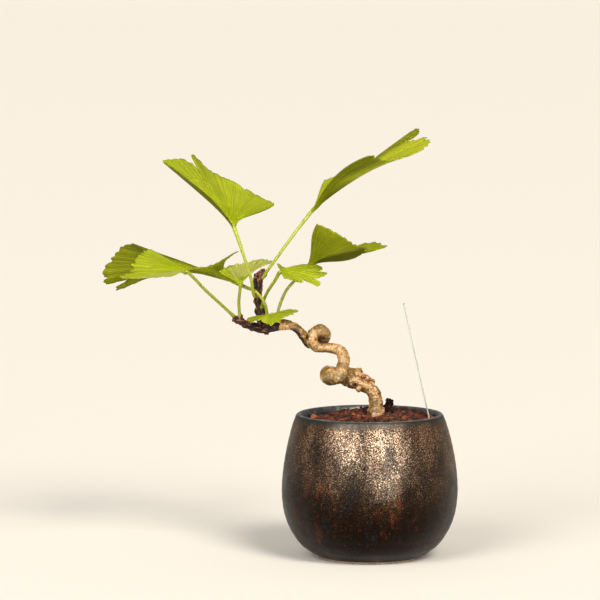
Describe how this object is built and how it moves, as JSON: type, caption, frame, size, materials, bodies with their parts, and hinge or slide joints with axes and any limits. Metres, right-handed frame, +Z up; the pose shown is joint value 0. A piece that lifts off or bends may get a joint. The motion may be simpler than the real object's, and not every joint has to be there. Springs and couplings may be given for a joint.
{
  "type": "potted bonsai tree",
  "caption": "Small ginkgo bonsai with a knotted, leaning trunk and fan-shaped leaves on long petioles, in a round dark glazed pot of clay granules with a plain plant marker.",
  "frame": {"origin": "centre of the pot's flat foot", "axes": "+Z up, -X the way the tree leans, -Y the viewing side"},
  "size_m": [0.1424, 0.0702, 0.1703],
  "materials": {
    "glaze": "dark bronze glaze with gold-brown speckle, satin gloss",
    "net": "moulded, matt",
    "granules": "dry reddish-brown clay granules, matt",
    "charred_wood": "dark weathered wood, matt",
    "marker": "pale satin plastic",
    "bark": "pale young bark with growth rings, dark rough older bark at the far end",
    "leaf": "yellow-green, satin upper face, duller underside"
  },
  "bodies": {
    "root": {"pot": "glaze", "drain_net": "net", "soil": "granules", "charred_chip": "charred_wood", "marker": "marker", "trunk": "bark", "leaf_upper_left": "leaf", "leaf_upper_right": "leaf", "leaf_right": "leaf", "leaf_centre_right": "leaf", "leaf_left": "leaf", "leaf_far_left": "leaf", "leaf_centre_left": "leaf", "leaf_low": "leaf"}
  },
  "joints": []
}
